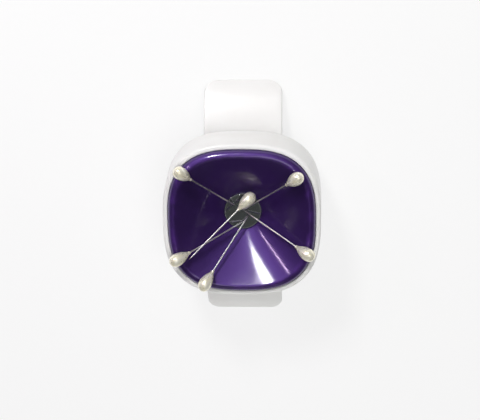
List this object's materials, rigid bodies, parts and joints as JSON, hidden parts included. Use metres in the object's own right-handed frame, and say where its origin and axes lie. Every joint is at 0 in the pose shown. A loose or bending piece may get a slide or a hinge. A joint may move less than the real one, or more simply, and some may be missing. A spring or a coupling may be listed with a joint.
{
  "type": "magnetic wrist pin cushion",
  "caption": "Wrist-worn sewing pin holder: a glossy violet funnel dish with a disc magnet, in a white housing on a springy open strap, holding pearl-headed pins.",
  "frame": {"origin": "middle of the footprint, on the surface that both ends of the strap stand on", "axes": "+Z out of the dish, +Y along the strap, X along the wearer's forearm"},
  "size_m": [0.0754, 0.1186, 0.0493],
  "materials": {
    "white_plastic": "glossy moulded plastic, faint flow marks",
    "violet_plastic": "deep violet, highly polished moulded plastic",
    "magnet_steel": "satin nickel plate, turned marks",
    "foam_tape": "matt adhesive foam",
    "screw_steel": "zinc plated steel",
    "pin_steel": "polished nickel plated steel wire",
    "pearl": "ivory pearl lacquer"
  },
  "bodies": {
    "cushion": {"housing": "white_plastic", "dish": "violet_plastic", "magnet": "magnet_steel", "magnet_pad": "foam_tape", "back_cover": "white_plastic", "strap_plate": "white_plastic", "strap_middle": "white_plastic", "cover_screw_1": "screw_steel", "cover_screw_2": "screw_steel", "cover_screw_3": "screw_steel", "cover_screw_4": "screw_steel", "strap_screw_1": "screw_steel", "strap_screw_2": "screw_steel"},
    "strap_upper_1": {"strap_upper_1": "white_plastic"},
    "strap_upper_2": {"strap_upper_2": "white_plastic"},
    "strap_upper_3": {"strap_upper_3": "white_plastic"},
    "strap_lower_1": {"strap_lower_1": "white_plastic"},
    "strap_lower_2": {"strap_lower_2": "white_plastic"},
    "strap_lower_3": {"strap_lower_3": "white_plastic"},
    "pin_upper_left": {"pin_upper_left_shaft": "pin_steel", "pin_upper_left_head": "pearl"},
    "pin_upper_right": {"pin_upper_right_shaft": "pin_steel", "pin_upper_right_head": "pearl"},
    "pin_lower_left": {"pin_lower_left_shaft": "pin_steel", "pin_lower_left_head": "pearl"},
    "pin_bottom": {"pin_bottom_shaft": "pin_steel", "pin_bottom_head": "pearl"},
    "pin_lower_right": {"pin_lower_right_shaft": "pin_steel", "pin_lower_right_head": "pearl"},
    "pin_crossing": {"pin_crossing_shaft": "pin_steel", "pin_crossing_head": "pearl"}
  },
  "joints": [
    {"name": "upper_flex_1", "type": "hinge", "parent": "cushion", "child": "strap_upper_1", "pos_m": [0, 0.018, 0.01441], "axis": [-1, 0, 0], "range_deg": [0, 36], "stiffness_Nm_per_rad": 0.2},
    {"name": "upper_flex_2", "type": "hinge", "parent": "strap_upper_1", "child": "strap_upper_2", "pos_m": [0, 0.03254, 0.01276], "axis": [-1, 0, 0], "range_deg": [0, 36], "stiffness_Nm_per_rad": 0.2},
    {"name": "upper_flex_3", "type": "hinge", "parent": "strap_upper_2", "child": "strap_upper_3", "pos_m": [0, 0.04635, 0.00791], "axis": [-1, 0, 0], "range_deg": [0, 36], "stiffness_Nm_per_rad": 0.2},
    {"name": "lower_flex_1", "type": "hinge", "parent": "cushion", "child": "strap_lower_1", "pos_m": [0, -0.018, 0.01441], "axis": [1, 0, 0], "range_deg": [0, 36], "stiffness_Nm_per_rad": 0.2},
    {"name": "lower_flex_2", "type": "hinge", "parent": "strap_lower_1", "child": "strap_lower_2", "pos_m": [0, -0.03254, 0.01276], "axis": [1, 0, 0], "range_deg": [0, 36], "stiffness_Nm_per_rad": 0.2},
    {"name": "lower_flex_3", "type": "hinge", "parent": "strap_lower_2", "child": "strap_lower_3", "pos_m": [0, -0.04635, 0.00791], "axis": [1, 0, 0], "range_deg": [0, 36], "stiffness_Nm_per_rad": 0.2},
    {"name": "pin_upper_left_lift", "type": "slide", "parent": "cushion", "child": "pin_upper_left", "axis": [-0.6003, 0.5657, 0.5654], "range_m": [0, 0.045]},
    {"name": "pin_upper_right_lift", "type": "slide", "parent": "cushion", "child": "pin_upper_right", "axis": [0.6401, 0.5505, 0.5359], "range_m": [0, 0.045]},
    {"name": "pin_lower_left_lift", "type": "slide", "parent": "cushion", "child": "pin_lower_left", "axis": [-0.778, -0.3018, 0.551], "range_m": [0, 0.045]},
    {"name": "pin_bottom_lift", "type": "slide", "parent": "cushion", "child": "pin_bottom", "axis": [-0.5012, -0.6749, 0.5416], "range_m": [0, 0.045]},
    {"name": "pin_lower_right_lift", "type": "slide", "parent": "cushion", "child": "pin_lower_right", "axis": [0.7543, -0.3582, 0.5502], "range_m": [0, 0.045]},
    {"name": "pin_crossing_lift", "type": "slide", "parent": "cushion", "child": "pin_crossing", "axis": [0, 0, 1], "range_m": [0, 0.03]}
  ],
  "couplings": [
    {"joint": "upper_flex_2", "follows": "upper_flex_1", "ratio": 1},
    {"joint": "upper_flex_3", "follows": "upper_flex_1", "ratio": 1},
    {"joint": "lower_flex_2", "follows": "lower_flex_1", "ratio": 1},
    {"joint": "lower_flex_3", "follows": "lower_flex_1", "ratio": 1}
  ]
}
